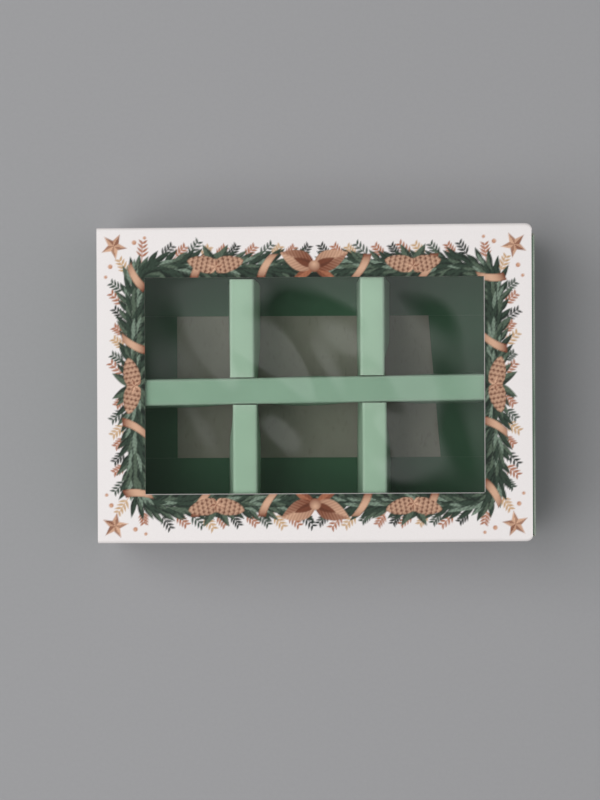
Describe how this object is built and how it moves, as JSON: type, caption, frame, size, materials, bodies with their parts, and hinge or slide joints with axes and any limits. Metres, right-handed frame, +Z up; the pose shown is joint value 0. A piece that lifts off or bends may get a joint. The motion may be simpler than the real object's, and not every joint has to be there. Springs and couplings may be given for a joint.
{
  "type": "candy box",
  "caption": "Sleeve-and-tray candy box of folded board: a printed sleeve with a film window, and a hollow-walled tray with slotted dividers that slides out at either end.",
  "frame": {"origin": "under the middle of the sleeve's bottom panel, on the surface the box stands on", "axes": "+X along the sleeve, the way the tray slides; +Y to the back panel, which holds the glue seam; +Z up, out of the window"},
  "size_m": [0.1376, 0.0984, 0.0386],
  "materials": {
    "printed_white_board": "satin",
    "clear_film": "polished",
    "dark_green_board": "matte",
    "sage_board": "matte"
  },
  "bodies": {
    "sleeve": {"sleeve": "printed_white_board", "window_film": "clear_film"},
    "tray": {"tray": "dark_green_board", "long_divider": "sage_board", "cross_divider_left": "sage_board", "cross_divider_right": "sage_board"}
  },
  "joints": [
    {"name": "tray_slide", "type": "slide", "parent": "sleeve", "child": "tray", "axis": [1, 0, 0], "range_m": [-0.137, 0.137]}
  ]
}
